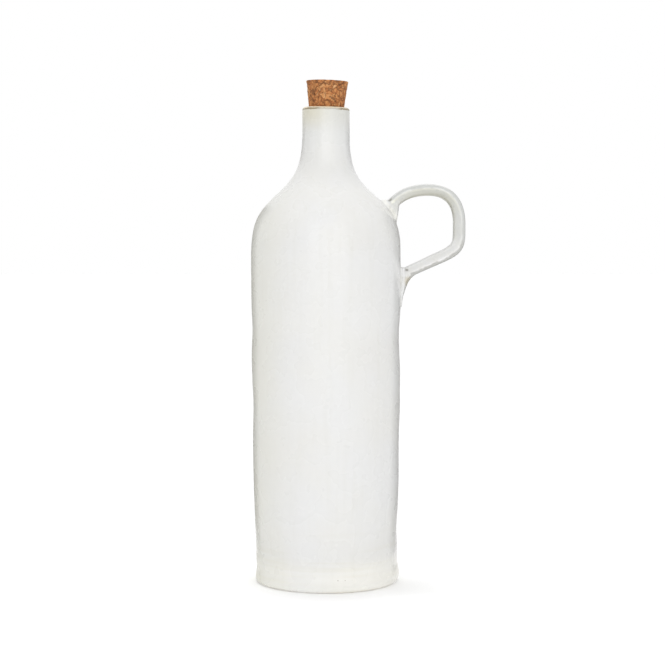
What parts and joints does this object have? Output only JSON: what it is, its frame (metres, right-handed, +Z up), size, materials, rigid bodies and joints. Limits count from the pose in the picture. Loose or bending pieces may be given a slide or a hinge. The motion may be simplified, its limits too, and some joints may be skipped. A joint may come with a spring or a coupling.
{
  "type": "oil bottle",
  "caption": "Tall handmade stoneware oil bottle: hollow shouldered body with a narrow neck, a pulled loop handle on one side and a tapered push-in cork.",
  "frame": {"origin": "centre of the flat base, on the bottle's axis", "axes": "+Z up along the bottle's axis, +X towards the handle"},
  "size_m": [0.136, 0.0952, 0.3186],
  "materials": {
    "white_glaze": "gloss",
    "cork": "matte"
  },
  "bodies": {
    "bottle": {"bottle_body": "white_glaze", "handle": "white_glaze"},
    "cork": {"cork_stopper": "cork"}
  },
  "joints": [
    {"name": "cork_pull", "type": "slide", "parent": "bottle", "child": "cork", "axis": [0, 0, 1], "range_m": [0, 0.06]}
  ]
}
